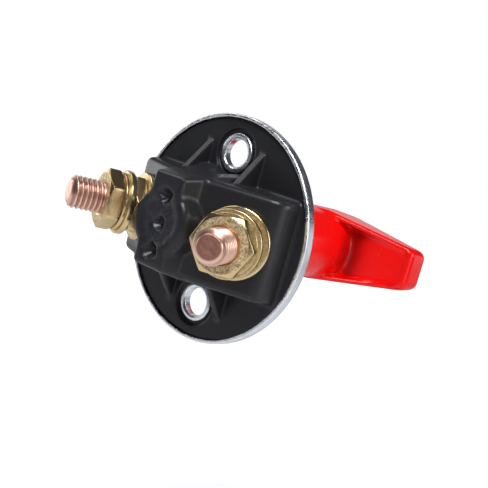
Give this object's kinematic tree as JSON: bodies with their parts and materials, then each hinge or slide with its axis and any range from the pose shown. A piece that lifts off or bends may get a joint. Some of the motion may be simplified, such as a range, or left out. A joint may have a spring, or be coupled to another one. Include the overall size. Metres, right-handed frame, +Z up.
{
  "type": "battery cut-off switch",
  "caption": "Panel-mounted battery cut-off switch with a round riveted cover plate, splayed copper stud terminals and a removable red T-shaped turning key.",
  "frame": {"origin": "centre of the cover plate's front face, which meets the panel, midway between the two eyelets", "axes": "+Y runs from the panel face to the rear along the switch axis, +Z points up through the upper eyelet, +X runs across the two studs, to the right seen from the key's side"},
  "size_m": [0.07, 0.109, 0.07],
  "materials": {
    "black_nylon": "moulded glass-filled nylon, glossy",
    "bush_nylon": "moulded nylon",
    "bright_zinc": "bright zinc plated pressed steel",
    "copper": "rolled copper thread, slightly tarnished",
    "yellow_zinc": "yellow passivated, slightly grained",
    "spring_steel": "bright spring steel",
    "rotor_nylon": "moulded acetal",
    "seal_rubber": "moulded rubber",
    "red_plastic": "moulded, glossy"
  },
  "bodies": {
    "base": {"housing": "black_nylon", "cover_plate": "bright_zinc", "guide_bush": "bush_nylon", "upper_eyelet": "bright_zinc", "lower_eyelet": "bright_zinc", "left_stud": "copper", "left_base_washer": "yellow_zinc", "left_lower_nut": "yellow_zinc", "left_plain_washer": "yellow_zinc", "left_spring_washer": "yellow_zinc", "left_top_nut": "yellow_zinc", "right_stud": "copper", "right_base_washer": "yellow_zinc", "right_lower_nut": "yellow_zinc", "right_plain_washer": "yellow_zinc", "right_spring_washer": "yellow_zinc", "right_top_nut": "yellow_zinc", "return_spring": "spring_steel"},
    "rotor": {"rotor": "rotor_nylon", "rotor_seal": "seal_rubber"},
    "carrier": {"carrier": "rotor_nylon", "contact_spring": "spring_steel", "bridge": "copper", "bridge_clip": "spring_steel"},
    "key": {"key": "red_plastic"}
  },
  "joints": [
    {"name": "rotor_turn", "type": "hinge", "parent": "base", "child": "rotor", "pos_m": [0, 0, 0], "axis": [0, 1, 0], "range_deg": [0, 90]},
    {"name": "carrier_slide", "type": "slide", "parent": "base", "child": "carrier", "axis": [0, 1, 0], "range_m": [0, 0.0025], "deforming": ["return_spring"]},
    {"name": "key_pull", "type": "slide", "parent": "rotor", "child": "key", "axis": [0, -1, 0], "range_m": [0, 0.03]}
  ],
  "couplings": [
    {"joint": "carrier_slide", "follows": "rotor_turn", "m_per_rad": 0.0015915}
  ]
}
